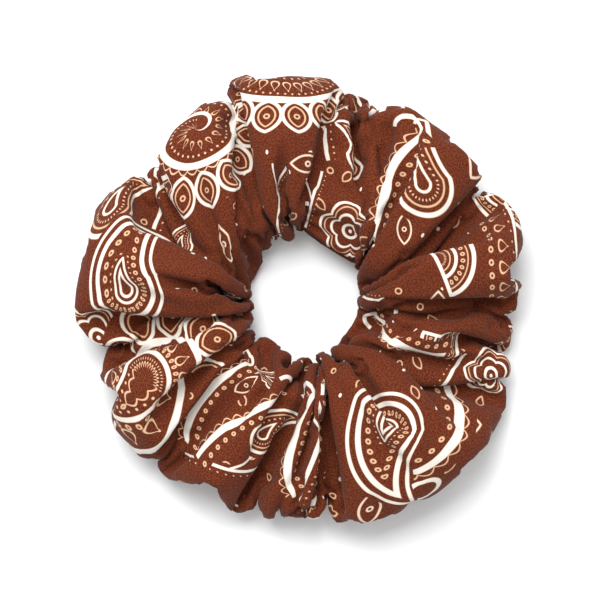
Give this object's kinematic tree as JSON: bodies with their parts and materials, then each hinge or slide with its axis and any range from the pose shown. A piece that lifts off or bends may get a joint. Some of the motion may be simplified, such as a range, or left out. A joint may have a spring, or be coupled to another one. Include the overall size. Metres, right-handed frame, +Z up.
{
  "type": "scrunchie",
  "caption": "Fabric-covered elastic hair tie: a gathered cloth tube over a closed loop of flat elastic, with deep folds and an opening for hair.",
  "frame": {"origin": "centre of the loop, on the plane that its flat underside rests on", "axes": "+Z up through the hair opening; +X and +Y in the plane of the loop, with the closing seam near -Y"},
  "size_m": [0.1118, 0.1125, 0.0265],
  "materials": {
    "printed_cotton": "matte plain weave, rust brown with an off-white print",
    "sewing_thread": "matte twisted thread",
    "braided_elastic": "matte braid over rubber",
    "pale_thread": "matte twisted thread"
  },
  "bodies": {
    "seam_half": {"cover_near": "printed_cotton", "long_seam_near": "sewing_thread", "closing_seam_thread": "sewing_thread", "elastic_band": "braided_elastic", "elastic_lap_thread": "pale_thread"},
    "far_half": {"cover_far": "printed_cotton", "long_seam_far": "sewing_thread"}
  },
  "joints": [
    {"name": "stretch", "type": "slide", "parent": "seam_half", "child": "far_half", "axis": [0, 1, 0], "range_m": [0, 0.08], "stiffness_N_per_m": 75, "deforming": ["elastic_band"]}
  ]
}
